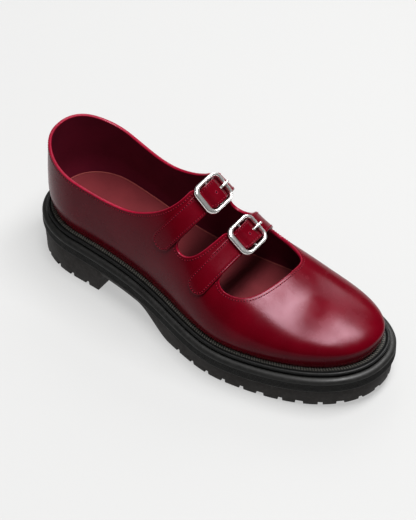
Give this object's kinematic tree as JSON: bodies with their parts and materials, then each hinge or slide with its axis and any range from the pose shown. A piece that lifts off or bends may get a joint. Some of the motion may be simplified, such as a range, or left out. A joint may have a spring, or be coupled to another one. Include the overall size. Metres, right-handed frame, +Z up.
{
  "type": "mary jane shoe",
  "caption": "Right foot mary jane shoe in glossy leather with two buckled instep straps, open vamp and a thick lugged rubber sole.",
  "frame": {"origin": "middle of the whole shoe's box, on the ground", "axes": "+X from heel to toe, +Y towards the inner (medial) side of the foot, +Z up"},
  "size_m": [0.2708, 0.1, 0.1116],
  "materials": {
    "outsole_rubber": "matt black moulded rubber",
    "midsole_rubber": "ribbed satin black rubber",
    "welt_rubber": "knurled satin black rubber",
    "insole_leather": "smooth burgundy brown sock lining",
    "upper_leather": "high gloss oxblood red polished leather",
    "buckle_metal": "polished silver"
  },
  "bodies": {
    "root": {"outsole": "outsole_rubber", "midsole": "midsole_rubber", "welt": "welt_rubber", "insole": "insole_leather", "upper": "upper_leather", "rear_chape": "upper_leather", "rear_billet": "upper_leather", "rear_buckle": "buckle_metal", "rear_prong": "buckle_metal", "front_chape": "upper_leather", "front_billet": "upper_leather", "front_buckle": "buckle_metal", "front_prong": "buckle_metal"}
  },
  "joints": []
}
